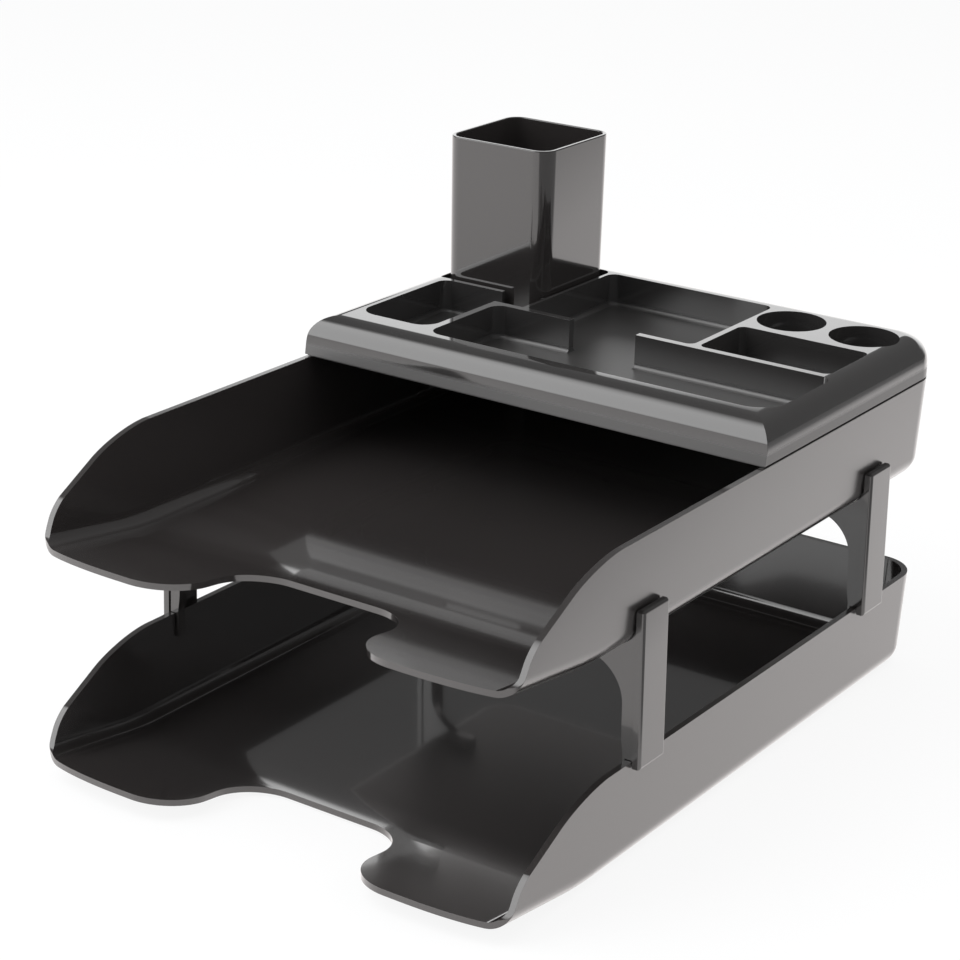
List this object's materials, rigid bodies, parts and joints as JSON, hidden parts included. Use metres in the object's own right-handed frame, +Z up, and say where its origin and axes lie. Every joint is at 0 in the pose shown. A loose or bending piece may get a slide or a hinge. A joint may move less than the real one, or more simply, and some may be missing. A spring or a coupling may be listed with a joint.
{
  "type": "two-tier letter rack",
  "caption": "Two-tier letter rack in gloss black plastic: open-front letter trays stacked on side risers, with a drawer organiser and a loose pencil cup on top.",
  "frame": {"origin": "centre of the footprint, at the flat underside of the lower tray", "axes": "+Z up, the open front of the trays faces -Y, +X to the right of someone facing the same way as +Y"},
  "size_m": [0.2686, 0.3766, 0.2479],
  "materials": {
    "tray_black": "glossy moulded",
    "riser_black": "glossy moulded",
    "organiser_black": "glossy moulded",
    "cup_black": "glossy moulded"
  },
  "bodies": {
    "base": {"lower_tray": "tray_black", "riser_front_left": "riser_black", "riser_front_right": "riser_black", "riser_rear_left": "riser_black", "riser_rear_right": "riser_black"},
    "upper_tray": {"upper_tray": "tray_black"},
    "organiser": {"organiser": "organiser_black"},
    "pencil_cup": {"pencil_cup": "cup_black"}
  },
  "joints": [
    {"name": "upper_tray_lift", "type": "slide", "parent": "base", "child": "upper_tray", "axis": [0, 0, 1], "range_m": [0, 0.06]},
    {"name": "organiser_lift", "type": "slide", "parent": "upper_tray", "child": "organiser", "axis": [0, 0, 1], "range_m": [0, 0.05]},
    {"name": "pencil_cup_lift", "type": "slide", "parent": "organiser", "child": "pencil_cup", "axis": [0, 0, 1], "range_m": [0, 0.06]}
  ]
}
